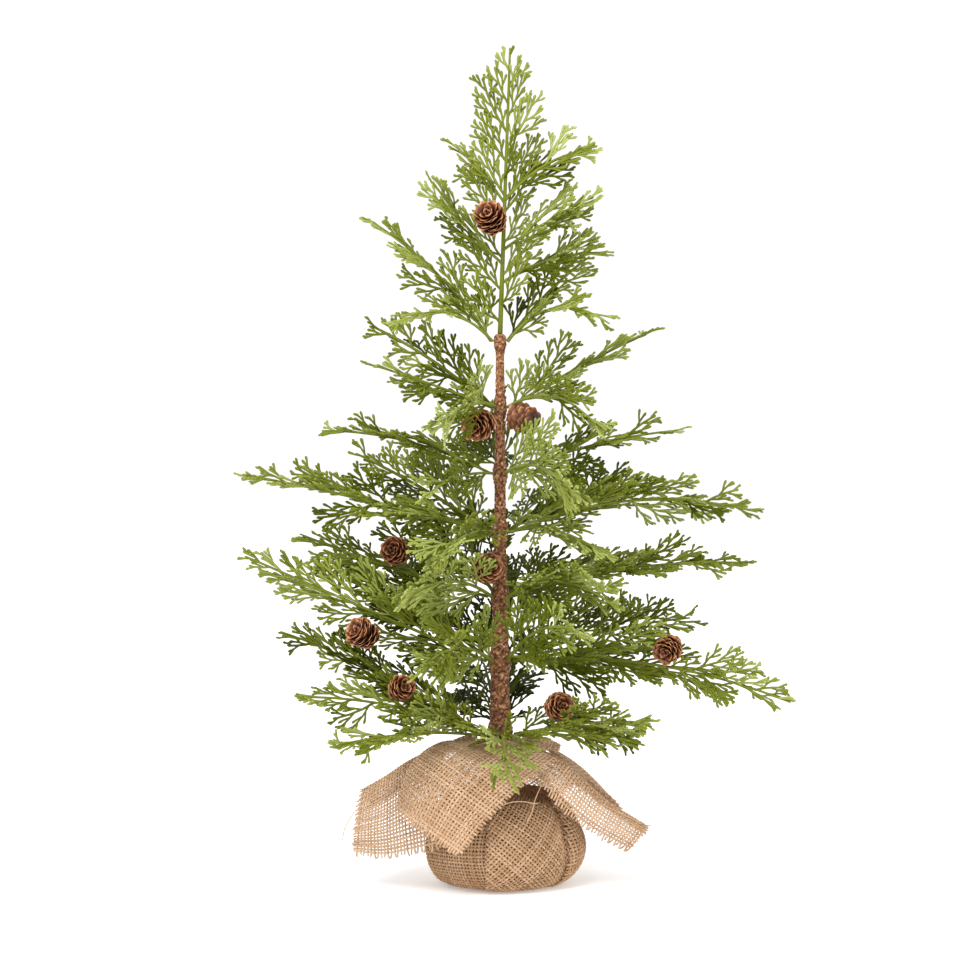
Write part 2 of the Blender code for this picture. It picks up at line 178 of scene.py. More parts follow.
class Foliage:
    """The strokes of one moulded piece: each a path with radii, the normal of its plane and a tone."""

    def __init__(self, seed, blocked):
        self.rng = random.Random(seed)
        self.blocked = blocked
        self.strokes = []

    def stroke(self, start, heading, normal, length, bend, lift, rings, radii, tone, sides):
        """One curved stem: it turns by bend in its plane and by lift out of it. None where blocked."""
        side = cross(normal, heading)
        middle = (rings[1:] + rings[:-1]) / 2
        steps = np.diff(rings) * length
        along = np.cos(bend * middle) * steps
        aside = np.sin(bend * middle) * steps
        over = np.sin(lift * middle) * steps
        moves = along[:, None] * heading + aside[:, None] * side + over[:, None] * normal
        path = np.empty((len(rings), 3))
        path[0] = start
        path[1:] = start + np.cumsum(moves, axis=0)
        if self.blocked(path[1:]):
            return None
        self.strokes.append((path, radii, normal, tone, sides))
        return path

    def tips(self, path, normal, length, tone):
        """Alternate short tips along a twig."""
        rng = self.rng
        side = rng.choice((-1, 1))
        for place, side in alternate(rng, side, FIRST_TIP, length - 2.6 * MM, TIP_PITCH, (0.85, 1.2)):
            start, ahead = point_at(path, TWIG_RINGS, place / length)
            lean = side * math.radians(rng.uniform(*TIP_LEAN))
            reach = min((length - place) * 0.95 + 2.0 * MM, LONGEST_TIP) * rng.uniform(0.8, 1.05)
            heading, local = fork(ahead, normal, lean, rng.gauss(0, 0.15))
            shade = tone + rng.uniform(-0.02, 0.08)
            bend, lift = TIP_CURVE * lean, rng.gauss(0, 0.12)
            self.stroke(start, heading, local, reach, bend, lift, TIP_RINGS, TIP_RADII, shade, 5)

    def frond(self, start, heading, normal, length, bend, lift, tone):
        """A flat frond: a rib with alternate twigs, each with its own tips."""
        rng = self.rng
        count = max(5, int(length / (6 * MM)))
        club = (1 - 1.1 * MM / length, 1.0)
        rings = np.concatenate((np.linspace(0, 1 - 3.0 * MM / length, count - 1), club))
        radii = np.linspace(FROND_RADIUS, TWIG_RADIUS, count + 1)
        radii[-2:] = (CLUB_RADIUS, 0.55 * CLUB_RADIUS)
        rib = self.stroke(start, heading, normal, length, bend, lift, rings, radii, tone, 6)
        if rib is None:
            return
        side = rng.choice((-1, 1))
        for place, side in alternate(rng, side, FIRST_TWIG, length - 3.0 * MM, TWIG_PITCH):
            share = place / length
            spot, ahead = point_at(rib, rings, share)
            lean = side * math.radians(rng.uniform(*TWIG_LEAN))
            reach = min(0.55 * length * (1 - share) ** 0.6 + 4 * MM, LONGEST_TWIG)
            reach = min(reach, (length - place) * 1.1 + 3.0 * MM) * rng.uniform(0.85, 1.12)
            away, local = fork(ahead, normal, lean, rng.gauss(0, 0.2))
            shade = tone + rng.uniform(-0.05, 0.07)
            bend, lift = TWIG_CURVE * lean, rng.gauss(0, 0.15)
            twig = self.stroke(spot, away, local, reach, bend, lift, TWIG_RINGS, TWIG_RADII, shade, 5)
            if twig is not None and reach > SHORTEST_FORKED_TWIG:
                self.tips(twig, local, reach, shade)

    def spray(self, rib, normal, width, tone, wildness=0.2, pitch=FROND_PITCH, bare=BARE_ROOT):
        """Alternate fronds along rib, evenly spaced points, shorter towards its tip."""
        rng = self.rng
        rings = np.linspace(0, 1, len(rib))
        length = np.linalg.norm(np.diff(rib, axis=0), axis=1).sum()
        radii = np.linspace(STEM_RADIUS, FROND_RADIUS, len(rib))
        radii[-1] *= 0.7
        self.strokes.append((rib, radii, normal, tone - 0.05, 8))
        side = rng.choice((-1, 1))
        for place, side in alternate(rng, side, bare, length - 2.0 * MM, pitch):
            share = place / length
            spot, ahead = point_at(rib, rings, share)
            level = unit(normal - ahead * (normal @ ahead))
            wild = rng.random() < wildness
            twist = rng.choice((-1, 1)) * rng.uniform(*WILD_TWIST) if wild else rng.gauss(0, USUAL_TWIST)
            lean = side * math.radians(rng.uniform(*FROND_LEAN))
            shape = min(1.0, 0.55 + 2.2 * share) * (1 - share) ** 0.75 * 1.22
            reach = (width * length * shape + 7 * MM) * rng.uniform(0.82, 1.12)
            reach = min(reach, ((length - place) + 4 * MM) / 0.86)
            heading, local = fork(ahead, level, lean, twist)
            # Painted shade: fronds are darker near the trunk, inside the tree, and lighter towards the
            # spray's tip.
            shade = tone + 0.20 * (share - 0.45) + rng.gauss(0, FROND_TONE_SPREAD)
            shade -= WILD_SHADE if wild else 0.0
            self.frond(spot, heading, local, reach, FROND_CURVE * lean, rng.gauss(0, 0.15), shade)


# -------- where foliage can't grow

CONES = [name for name in frame["nodes"] if name.startswith("cone_")]
CONE_CENTRES = np.array([np.mean(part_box(name), axis=0) for name in CONES])
CONE_CLEARANCE = 12.4 * MM
TRUNK_TOP = 0.400
# Foliage keeps this far from the trunk's axis at its foot, and may come closer over a run above it.
TRUNK_FOOT = 0.08
TRUNK_RUN = 0.32
TRUNK_REACH = 9.4 * MM
TRUNK_THINNER = 5.2 * MM
# The burlap's heights are kept by cells of this side; it ends below this height.
CLOTH_CELL = 3.0 * MM
CLOTH_TOP = 0.112
CLOTH_CLEARANCE = 2.0 * MM
BENT_CLEARANCE = 1.5 * MM
FLOOR_CLEARANCE = 0.012
# How far past the CAD's box foliage may go, as a share of the box's sides.
BOX_SHARE = 0.025


def cloth_heights():
    """{cell: greatest height of the burlap over it}, for the cells of a grid seen from above."""
    heights = {}
    mesh = frame["nodes"]["burlap_wrap"].data
    mesh.calc_loop_triangles()
    points = np.array([v.co for v in mesh.vertices])
    shares = [(i / 8, j / 8) for i in range(9) for j in range(9 - i)]
    for triangle in mesh.loop_triangles:
        a, b, c = points[list(triangle.vertices)]
        for u, v in shares:
            spot = a + (b - a) * u + (c - a) * v
            key = (int(spot[0] // CLOTH_CELL), int(spot[1] // CLOTH_CELL))
            heights[key] = max(heights.get(key, 0.0), float(spot[2]))
    return heights


CLOTH_HEIGHTS = cloth_heights()
BOX_MARGIN = BOX_SHARE * np.array(cad_box[1] - cad_box[0])
BOX_LOW = np.array(cad_box[0]) - BOX_MARGIN
BOX_HIGH = np.array(cad_box[1]) + BOX_MARGIN


def trunk_radius(height):
    return TRUNK_REACH - TRUNK_THINNER * max(0.0, min(1.0, (height - TRUNK_FOOT) / TRUNK_RUN))


def in_cloth(points, clearance):
    """Whether any of the points is under the burlap, within clearance over it or near the floor."""
    for x, y, z in points[points[:, 2] < CLOTH_TOP].tolist():
        key = (int(x // CLOTH_CELL), int(y // CLOTH_CELL))
        if z < CLOTH_HEIGHTS.get(key, -1.0) + clearance or z < FLOOR_CLEARANCE:
            return True
    return False


def near_any(points, centres):
    """Whether any of the points is as close to a cone's centre as a cone reaches."""
    gaps = points[:, None, :] - centres[None, :, :]
    return bool((np.einsum("ijk,ijk->ij", gaps, gaps) < CONE_CLEARANCE**2).any())


def blocked(points):
    """Whether any of the points is in a cone, the trunk or the burlap, or out of the CAD's box."""
    if in_cloth(points, CLOTH_CLEARANCE) or near_any(points, CONE_CENTRES):
        return True
    if (points < BOX_LOW).any() or (points > BOX_HIGH).any():
        return True
    return any(z < TRUNK_TOP and x * x + y * y < trunk_radius(z) ** 2 for x, y, z in points.tolist())


def turned_about(points, joint, degrees):
    """The points turned by degrees about a joint."""
    pivot = np.array(joint["pos_m"])
    axis = np.array(joint["axis"])
    turn = np.stack([turned(row, axis, math.radians(degrees)) for row in np.eye(3)])
    return (points - pivot) @ turn + pivot


def other_cones(joint):
    """(centres at rest, centres at their own joints' limits) of the cones on the other branches."""
    resting, bent = [], []
    for other in frame["joints"]:
        name = f"cone_{other['child'].removeprefix('branch_')}"
        if name in CONES and other["name"] != joint["name"]:
            centre = CONE_CENTRES[CONES.index(name)][None, :]
            resting.append(centre)
            bent += [turned_about(centre, other, limit) for limit in other["range_deg"]]
    return np.concatenate(resting), np.concatenate(bent)


def blocked_when_bent(joint):
    """A test like blocked that leaves room for the joint's motion and the other branches' cones."""
    low, high = joint["range_deg"]
    resting, bent = other_cones(joint)

    def test(points):
        if blocked(points) or near_any(points, bent):
            return True
        lowered = turned_about(points, joint, low)
        raised = turned_about(points, joint, high)
        return in_cloth(lowered, BENT_CLEARANCE) or near_any(lowered, resting) or near_any(raised, resting)

    return test


# -------- where each spray goes

# Tone of a spray, with painted light and shade: brighter towards the front and darker at the back, and
# above LOW_ROOTS brighter higher up the trunk, so that the low sprays keep a painted shade.
SPRAY_TONE = 0.42
FRONT_PAINTED_LIGHT = 0.20
LOW_ROOTS = 0.130
PAINTED_LIGHT_RISE = 1.2
PAINTED_LIGHT_UP = 0.12
# The leader and its sprigs are brighter than the sprays, as painted light on the top of the tree.
LEADER_TONE_WITH_PAINTED_LIGHT = 0.55
SPRIG_TONE_WITH_PAINTED_LIGHT = 0.58
LEADER_RINGS = 24
LEADER_PITCH = 11.5 * MM
LONGEST_LEADER_FROND = 45 * MM


def line_lengths(line):
    """Length along the line at each of its points."""
    return np.concatenate(((0,), np.cumsum(np.linalg.norm(np.diff(line, axis=0), axis=1))))


def evenly_spaced(line, count):
    """count points spaced evenly along the line."""
    lengths = line_lengths(line)
    even = np.linspace(0, lengths[-1], count)
    return np.stack([np.interp(even, lengths, line[:, k]) for k in range(line.shape[1])], axis=1)


def rib_points(rise, droop, length, steps):
    """(outwards, upwards) of a rib that turns down evenly from rise by droop."""
    fine = 60
    headings = np.radians(rise - droop * (np.arange(fine) + 0.5) / fine)
    x = np.concatenate(((0.0,), np.cumsum(np.cos(headings)))) * length / fine
    z = np.concatenate(((0.0,), np.cumsum(np.sin(headings)))) * length / fine
    at = np.linspace(0, fine, steps)
    return np.interp(at, range(fine + 1), x), np.interp(at, range(fine + 1), z)


def measured_rib(spray, pivot, outwards):
    """The CAD spray's rib as evenly spaced points, from the vertices of its central strip."""
    points = np.array([v.co for v in frame["nodes"][spray].data.vertices]) - pivot
    central = np.abs(points @ np.array((-outwards[1], outwards[0], 0.0))) < 2 * MM
    x = (points @ outwards)[central]
    slope = np.polyfit(x, points[:, 2][central], 3)
    along = np.linspace(0, x.max() - 0.5 * MM, 60)
    curve = np.polyval(slope, along) - np.polyval(slope, 0)
    rib = pivot + along[:, None] * outwards + curve[:, None] * UP
    return evenly_spaced(rib, max(8, int(line_lengths(rib)[-1] / (8 * MM))))


def rolled_normal(rib, degrees):
    """The normal of a spray's plane, turned about its rib from level by degrees."""
    ahead = unit(rib[-1] - rib[0])
    level = unit(cross(ahead, cross(UP, ahead)))
    return turned(level, ahead, math.radians(degrees))


def spray_foliage(joint, label):
    """The strokes of the spray that bends at joint."""
    roll, width, seed = SPRAY_LOOKS[label]
    foliage = Foliage(f"cedar {label} {seed}", blocked_when_bent(joint))
    outwards = np.array((-joint["axis"][1], joint["axis"][0], 0.0))
    rib = measured_rib(f"spray_{label}", np.array(joint["pos_m"]), outwards)
    # Painted light and shade: brighter towards the front and higher up, darker at the back and low down.
    rise = min(PAINTED_LIGHT_UP, PAINTED_LIGHT_RISE * max(0.0, rib[0][2] - LOW_ROOTS))
    tone = SPRAY_TONE - FRONT_PAINTED_LIGHT * outwards[1] + rise
    foliage.spray(rib, rolled_normal(rib, roll), FROND_SHARE * width, tone)
    return foliage


def leader_point(height, base):
    return np.array(((height - base[2]) * math.tan(LEADER_LEAN), 0.0, height))


def leader_foliage(base):
    """The strokes of the leader: its stem with alternate fronds that steepen towards the top."""
    foliage = Foliage(f"cedar leader {LEADER_SEED}", blocked)
    rng = foliage.rng
    rings = np.linspace(0, 1, LEADER_RINGS)
    stem = base - UP * 1.5 * MM + rings[:, None] * (leader_point(LEADER_TOP, base) - base)
    radii = np.linspace(STEM_RADIUS * 1.25, TWIG_RADIUS, LEADER_RINGS)
    foliage.strokes.append((stem, radii, FRONT, 0.47, 8))
    ahead = unit(stem[-1] - stem[0])
    length = LEADER_TOP - base[2]
    for place, side in alternate(rng, 1, 8 * MM, length - 4 * MM, LEADER_PITCH):
        share = place / length
        lean = side * math.radians(rng.uniform(46, 56) - 18 * share)
        shape = min(1.0, 0.85 + share) * min(1.0, (1.05 - share) * 2.9) ** 0.9
        reach = LONGEST_LEADER_FROND * shape * rng.uniform(0.85, 1.1)
        reach = min(reach, 0.66 * (length - place) + 4 * MM)
        heading, local = fork(ahead, FRONT, lean, rng.gauss(0, 0.45))
        # Painted light: the leader's fronds are brighter than the sprays'.
        tone = LEADER_TONE_WITH_PAINTED_LIGHT + rng.gauss(0, FROND_TONE_SPREAD)
        foliage.frond(stem[0] + ahead * place, heading, local, reach, -0.6 * lean, 0.0, tone)
    return foliage


def sprig_foliage(name, base):
    """The strokes of one of the leader's sprigs."""
    height, azimuth, length, rise, droop, roll, seed = LEADER_SPRIGS[name]
    foliage = Foliage(f"cedar {name} {seed}", blocked)
    turn = math.radians(azimuth)
    outwards = np.array((math.cos(turn), math.sin(turn), 0.0))
    x, z = rib_points(rise, droop, length, 12)
    rib = leader_point(height, base) + x[:, None] * outwards + z[:, None] * UP
    normal = rolled_normal(rib, roll)
    # Painted light: the sprigs are brighter than the sprays.
    foliage.spray(rib, normal, 0.50, SPRIG_TONE_WITH_PAINTED_LIGHT, wildness=0.1, pitch=7.6 * MM, bare=9 * MM)
    return foliage


# -------- meshes


def ring_quads(rows, around):
    """Faces between rows of around points each, wound the same way as the rows' order."""
    ring = np.arange(around)
    after = (ring + 1) % around
    step = np.arange(rows - 1)[:, None] * around
    quads = (step + ring, step + after, step + after + around, step + ring + around)
    return np.stack(quads, axis=-1).reshape(-1, 4)


def mesh_object(name, points, faces, layer, values, material):
    """A smooth mesh object with one number for each vertex kept in layer."""
    mesh = bpy.data.meshes.new(name)
    mesh.from_pydata(points, [], faces)
    mesh.shade_smooth()
    kept = mesh.attributes.new(layer, "FLOAT", "POINT")
    kept.data.foreach_set("value", values.astype(np.float32))
    mesh.materials.append(material)
    made = bpy.data.objects.new(name, mesh)
    bpy.context.scene.collection.objects.link(made)
    return made


def stand_in(piece, body, node):
    """The piece rides body and takes the place of a CAD node, which is hidden."""
    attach(piece, body)
    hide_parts(node)


class Builder:
    """Collects the vertices, faces and per-vertex tone of one piece's tubes."""

    def __init__(self):
        self.points = []
        self.faces = []
        self.tones = []
        self.count = 0

    def tube(self, path, radii, normal, tone, sides, flatness=FLATNESS):
        """A rounded tube along path, flattened along normal, closed by a point at each end."""
        k = len(path)
        ahead = np.empty_like(path)
        ahead[1:-1] = path[2:] - path[:-2]
        ahead[0] = path[1] - path[0]
        ahead[-1] = path[-1] - path[-2]
        ahead /= np.linalg.norm(ahead, axis=1)[:, None] + 1e-12
        across = np.cross(normal, ahead)
        across /= np.linalg.norm(across, axis=1)[:, None] + 1e-12
        over = np.cross(ahead, across)
        turn = np.arange(sides) * (math.tau / sides)
        circle = np.cos(turn)[None, :, None] * across[:, None, :]
        circle = circle + np.sin(turn)[None, :, None] * over[:, None, :] * flatness
        radii = np.broadcast_to(np.asarray(radii, float), (k,))
        rings = path[:, None, :] + circle * radii[:, None, None]
        near_end = path[0] - ahead[0] * radii[0] * 0.4
        far_end = path[-1] + ahead[-1] * radii[-1] * 0.7
        self.points.append(np.concatenate((rings.reshape(-1, 3), [near_end, far_end])))
        ring = np.arange(sides)
        after = (ring + 1) % sides
        last = (k - 1) * sides
        none = np.full(sides, -1)
        near = np.stack((after, ring, np.full(sides, k * sides), none), axis=-1)
        far = np.stack((ring + last, after + last, np.full(sides, k * sides + 1), none), axis=-1)
        faces = np.concatenate((ring_quads(k, sides), near, far))
        self.faces.append(np.where(faces < 0, -1, faces + self.count))
        self.count += k * sides + 2
        self.tones.append(np.full(k * sides + 2, float(tone)))

    def object(self, name, material):
        faces = np.concatenate(self.faces).tolist()
        faces = [f[:3] if f[3] < 0 else f for f in faces]
        tones = np.concatenate(self.tones)
        return mesh_object(name, np.concatenate(self.points), faces, "tone", tones, material)


def foliage_piece(name, foliage, material, body, node):
    builder = Builder()
    for path, radii, normal, tone, sides in foliage.strokes:
        builder.tube(path, radii, normal, tone, sides)
    piece = builder.object(name, material)
    stand_in(piece, body, node)


def build_foliage(material):
    for joint in frame["joints"]:
        body = joint["child"]
        if body == "top":
            base = np.array(joint["pos_m"])
            continue
        label = body.removeprefix("branch_")
        foliage_piece(f"foliage_{label}", spray_foliage(joint, label), material, body, f"spray_{label}")
    foliage_piece("foliage_leader", leader_foliage(base), material, "top", "leader")
    for name in LEADER_SPRIGS:
        foliage_piece(f"foliage_{name}", sprig_foliage(name, base), material, "top", name)


# -------- materials


def new_material(name, roughness, specular=0.5, metallic=0.0):
    """(material, node tree, shader) of a new material with this skin."""
    made = bpy.data.materials.new(name)
    made.use_nodes = True
    tree = made.node_tree
    shader = tree.nodes["Principled BSDF"]
    shader.inputs["Roughness"].default_value = roughness
    shader.inputs["Specular IOR Level"].default_value = specular
    shader.inputs["Metallic"].default_value = metallic
    return made, tree, shader


def add(tree, kind, **values):
    """A new node with its inputs or settings given by name."""
    made = tree.nodes.new(kind)
    for key, value in values.items():
        if key in made.inputs:
            made.inputs[key].default_value = value
        else:
            setattr(made, key, value)
    return made


def texture(tree, kind, **values):
    """A texture node laid in the piece's own coordinates."""
    made = add(tree, kind, **values)
    place = add(tree, "ShaderNodeTexCoord")
    tree.links.new(place.outputs["Object"], made.inputs["Vector"])
    return made


def shifted(tree, value, noise, low, high):
    """value plus noise, an output from 0 to 1, spread from low to high."""
    spread = add(tree, "ShaderNodeMapRange", **{"To Min": low, "To Max": high})
    tree.links.new(noise, spread.inputs["Value"])
    total = add(tree, "ShaderNodeMath", operation="ADD")
    tree.links.new(value, total.inputs[0])
    tree.links.new(spread.outputs["Result"], total.inputs[1])
    return total.outputs["Value"]


def colour_by(tree, shader, value, stops):
    """Colours the shader by value, through a ramp of (position, colour) stops."""
    ramp = add(tree, "ShaderNodeValToRGB")
    elements = ramp.color_ramp.elements
    while len(elements) < len(stops):
        elements.new(0.5)
    for element, (position, colour) in zip(elements, stops):
        element.position = position
        element.color = (*colour, 1.0)
    tree.links.new(value, ramp.inputs["Fac"])
    tree.links.new(ramp.outputs["Color"], shader.inputs["Base Color"])


def relief_by(tree, shader, height, strength, distance):
    bump = add(tree, "ShaderNodeBump", Strength=strength, Distance=distance)
    tree.links.new(height, bump.inputs["Height"])
    tree.links.new(bump.outputs["Normal"], shader.inputs["Normal"])


def foliage_material():
    """Moulded soft plastic: olive greens by tone, a fine scaly relief and a satin skin."""
    made, tree, shader = new_material("foliage_moulded", 0.55, 0.08)
    tone = add(tree, "ShaderNodeAttribute", attribute_name="tone")
    mottle = texture(tree, "ShaderNodeTexNoise", Scale=60.0, Detail=3.0, Roughness=0.6)
    value = shifted(tree, tone.outputs["Fac"], mottle.outputs["Fac"], -0.14, 0.14)
    stops = (
        (0.0, (0.022, 0.031, 0.0)),
        (0.28, (0.080, 0.099, 0.001)),
        (0.55, (0.188, 0.219, 0.024)),
        (0.78, (0.298, 0.340, 0.078)),
        (1.0, (0.400, 0.450, 0.125)),
    )
    colour_by(tree, shader, value, stops)
    scales = texture(tree, "ShaderNodeTexVoronoi", Scale=900.0)
    relief_by(tree, shader, scales.outputs["Distance"], 0.35, 0.4 * MM)
    return made


# -------- cones

# Each cone's tip, as azimuth and elevation in degrees, and its size.
CONE_LOOKS = {
    "cone_1b": (296, 18, 0.80),
    "cone_1e": (288, 14, 0.87),
    "cone_2a": (224, 24, 0.92),
    "cone_2e": (246, -16, 0.86),
    "cone_3a": (250, 10, 0.88),
    "cone_3b": (290, 12, 0.92),
    "cone_6c": (240, -10, 0.95),
    "cone_6e": (130, 10, 0.95),
    "cone_leader": (246, 32, 0.96),
}
CONE_LENGTH = 24.0 * MM
CONE_RADIUS = 11.4 * MM
SCALES = 62
SCALE_THICKNESS = 0.42 * MM
GOLDEN_ANGLE = math.radians(137.508)
SCALE_ACROSS = 7
SCALE_ALONG = 6
# The scales near the tip, from this share of the cone's length, close over it.
CLOSING_FROM = 0.80
CORE_ROWS = 9
CORE_SIDES = 12


def cone_scale(rng, turn, share):
    """(outer, inner) grids of one scale's points round the +Z axis, with the cone's middle at 0."""
    size = CONE_RADIUS * (0.30 + 0.72 * math.sin(math.pi * min(1.0, 0.16 + 0.80 * share)) ** 0.8)
    closing = max(0.0, (share - CLOSING_FROM) / (1 - CLOSING_FROM))
    size *= 1 - 0.74 * closing**1.5
    rise = (share - 0.5) * CONE_LENGTH * 0.78 - 2.2 * MM
    core = 0.30 * size
    opening = math.radians(58 - 34 * share - 14 * closing + rng.uniform(-5, 5))
    reach = (size - core) / max(math.sin(opening), 0.5) * rng.uniform(0.92, 1.06)
    half = min(0.60 * size, 4.6 * MM) * rng.uniform(0.9, 1.08)
    curl = rng.uniform(0.2, 1.0) * MM
    wave = rng.uniform(0, math.tau)
    tilt = rng.uniform(-0.16, 0.16)
    across = np.linspace(-1, 1, SCALE_ACROSS)[None, :]
    along = np.linspace(0, 1, SCALE_ALONG)[:, None]
    rounded = along * (1.0 - 0.26 * across**4 - 0.10 * across**2)
    width = half * (0.40 + 0.75 * np.sin(math.pi * (0.08 + 0.56 * along)))
    radial = core + reach * math.sin(opening) * rounded**0.85
    radial = radial + curl * rounded**4 + 0.32 * MM * np.sin(6.4 * across + wave) * rounded**2
    radial = radial - 0.9 * MM * (across**2) * rounded
    height = rise + reach * math.cos(opening) * rounded - curl * 0.8 * rounded**4
    height = height + 0.30 * MM * np.cos(5.2 * across + wave) * rounded**2
    angle = turn + across * width / np.maximum(radial, 2.2 * MM) + tilt * rounded
    grids = []
    for offset in (SCALE_THICKNESS / 2, -SCALE_THICKNESS / 2):
        r = radial + offset * math.cos(opening)
        z = height - offset * math.sin(opening)
        grids.append(np.stack((r * np.cos(angle), r * np.sin(angle), z), axis=-1))
    return grids, np.broadcast_to(rounded, angle.shape)


def scale_faces():
    """Faces of one scale: its outer grid, its inner grid turned over, and the rim between them."""
    cell = SCALE_ACROSS * SCALE_ALONG
    grid = np.arange(cell).reshape(SCALE_ALONG, SCALE_ACROSS)
    faces = []
    for a in grid[:-1, :-1].ravel().tolist():
        face = (a, a + 1, a + 1 + SCALE_ACROSS, a + SCALE_ACROSS)
        faces += [face, tuple(v + cell for v in reversed(face))]
    sides = (grid[0], grid[1:, -1], grid[-1, -2::-1], grid[-2:0:-1, 0])
    edge = np.concatenate(sides).tolist()
    for here, after in zip(edge, edge[1:] + edge[:1]):
        faces.append((after, here, here + cell, after + cell))
    return faces


def cone_core():
    """(points, faces) of the spindle that the scales stand on."""
    t = np.arange(CORE_ROWS) / (CORE_ROWS - 1)
    r = 0.42 * CONE_RADIUS * np.sin(math.pi * (0.04 + 0.92 * t)) ** 0.6
    z = (t - 0.55) * CONE_LENGTH * 0.76
    turn = np.arange(CORE_SIDES) * math.tau / CORE_SIDES
    heights = np.repeat(z[:, None], CORE_SIDES, axis=1)
    rings = (r[:, None] * np.cos(turn), r[:, None] * np.sin(turn), heights)
    faces = [tuple(face) for face in ring_quads(CORE_ROWS, CORE_SIDES).tolist()]
    last = (CORE_ROWS - 1) * CORE_SIDES
    faces += [tuple(reversed(range(CORE_SIDES))), tuple(range(last, last + CORE_SIDES))]
    return np.stack(rings, axis=-1).reshape(-1, 3), faces


def placed_cone(name, local):
    """The local points turned to the cone's own tip and moved to its centre."""
    azimuth, elevation, size = CONE_LOOKS[name]
    turn, rise = math.radians(azimuth), math.radians(elevation)
    tip = np.array((math.cos(rise) * math.cos(turn), math.cos(rise) * math.sin(turn), math.sin(rise)))
    across = unit(cross(UP, tip))
    axes = np.stack((across, cross(tip, across), tip))
    return np.mean(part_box(name), axis=0) + local * size @ axes


def build_cone(name, material):
    rng = random.Random(f"cedar {name}")
    points, faces, rims = [], [], []
    one = scale_faces()
    for n in range(SCALES):
        grids, rim = cone_scale(rng, n * GOLDEN_ANGLE, (n + 0.5) / SCALES)
        count = 2 * n * SCALE_ACROSS * SCALE_ALONG
        faces += [tuple(count + v for v in face) for face in one]
        for grid in grids:
            points.append(grid.reshape(-1, 3))
            rims.append(rim.reshape(-1) + rng.uniform(-0.06, 0.06))
    core, core_faces = cone_core()
    count = 2 * SCALES * SCALE_ACROSS * SCALE_ALONG
    faces += [tuple(count + v for v in face) for face in core_faces]
    world = placed_cone(name, np.concatenate((*points, core)))
    values = np.concatenate((*rims, np.zeros(len(core))))
    piece = mesh_object(f"scales_{name}", world, faces, "rim", values, material)
    stand_in(piece, body_of_node(name), name)


def body_of_node(name):
    return "top" if name == "cone_leader" else f"branch_{name.removeprefix('cone_')}"


def cone_material():
    """Dried wood scales: dark roots, red-brown faces, pale dry rims and fine grain."""
    made, tree, shader = new_material("cone_scales", 0.55)
    rim = add(tree, "ShaderNodeAttribute", attribute_name="rim")
    grain = texture(tree, "ShaderNodeTexNoise", Scale=420.0, Detail=4.0, Roughness=0.65)
    value = shifted(tree, rim.outputs["Fac"], grain.outputs["Fac"], -0.22, 0.22)
    stops = (
        (0.0, (0.010, 0.003, 0.001)),
        (0.52, (0.060, 0.014, 0.005)),
        (0.82, (0.175, 0.050, 0.014)),
        (0.95, (0.400, 0.155, 0.052)),
        (1.0, (0.620, 0.310, 0.145)),
    )
    colour_by(tree, shader, value, stops)
    relief_by(tree, shader, grain.outputs["Fac"], 0.4, 0.3 * MM)
    return made


# -------- bark

BARK_AROUND = 84
BARK_STEP = 0.55 * MM
BARK_BORE = 2.6 * MM
GRAINS = 9000
GRAIN_SIZES = (0.5 * MM, 1.15 * MM)
GRAIN_SEED = 5
# The grains stand on a surface this far inside the CAD bark, and this share of their size shows.
BARK_INSET = 0.85 * MM
GRAIN_SHARE = 0.85
FULL_RELIEF = 1.1 * MM


def bark_profile():
    """(heights, radii) of the CAD bark, as greatest radius at each of its rings."""
    points = np.array([v.co for v in frame["nodes"]["trunk_bark"].data.vertices])
    radius = np.hypot(points[:, 0], points[:, 1])
    outer = radius > BARK_BORE
    heights = np.unique(np.round(points[outer, 2], 5))
    radii = np.array([radius[outer & (np.abs(points[:, 2] - z) < 2e-5)].max() for z in heights])
    return heights, radii


def bark_grains(low, high):
    """Round grains stuck on the trunk, as (height, turn, size, lift)."""
    rng = np.random.default_rng(GRAIN_SEED)
    spans = ((low, high), (0, math.tau), GRAIN_SIZES, (0.35, 1.0))
    return np.stack([rng.uniform(*span, GRAINS) for span in spans], axis=-1)


def build_bark(material):
    heights, radii = bark_profile()
    rows = int((heights[-1] - heights[0]) / BARK_STEP)
    z = np.linspace(heights[0], heights[-1], rows)
    base = np.interp(z, heights, radii)
    turn = np.arange(BARK_AROUND) * math.tau / BARK_AROUND
    relief = np.zeros((rows, BARK_AROUND))
    for height, angle, size, lift in bark_grains(z[0], z[-1]):
        near = np.nonzero(np.abs(z - height) < size)[0]
        if not len(near):
            continue
        gap = np.abs((turn - angle + math.pi) % math.tau - math.pi) * base[near[0]]
        far = (z[near, None] - height) ** 2 + gap[None, :] ** 2
        dome = np.sqrt(np.maximum(0.0, size**2 - far)) * lift * GRAIN_SHARE
        relief[near] = np.maximum(relief[near], dome)
    surface = base[:, None] - BARK_INSET + relief
    upright = np.broadcast_to(z[:, None], surface.shape)
    points = np.stack((surface * np.cos(turn), surface * np.sin(turn), upright), axis=-1).reshape(-1, 3)
    last = (rows - 1) * BARK_AROUND
    faces = ring_quads(rows, BARK_AROUND).tolist()
    faces += [list(reversed(range(BARK_AROUND))), list(range(last, last + BARK_AROUND))]
    values = relief.reshape(-1) / FULL_RELIEF
    piece = mesh_object("bark_granules", points, faces, "relief", values, material)
    stand_in(piece, "base", "trunk_bark")


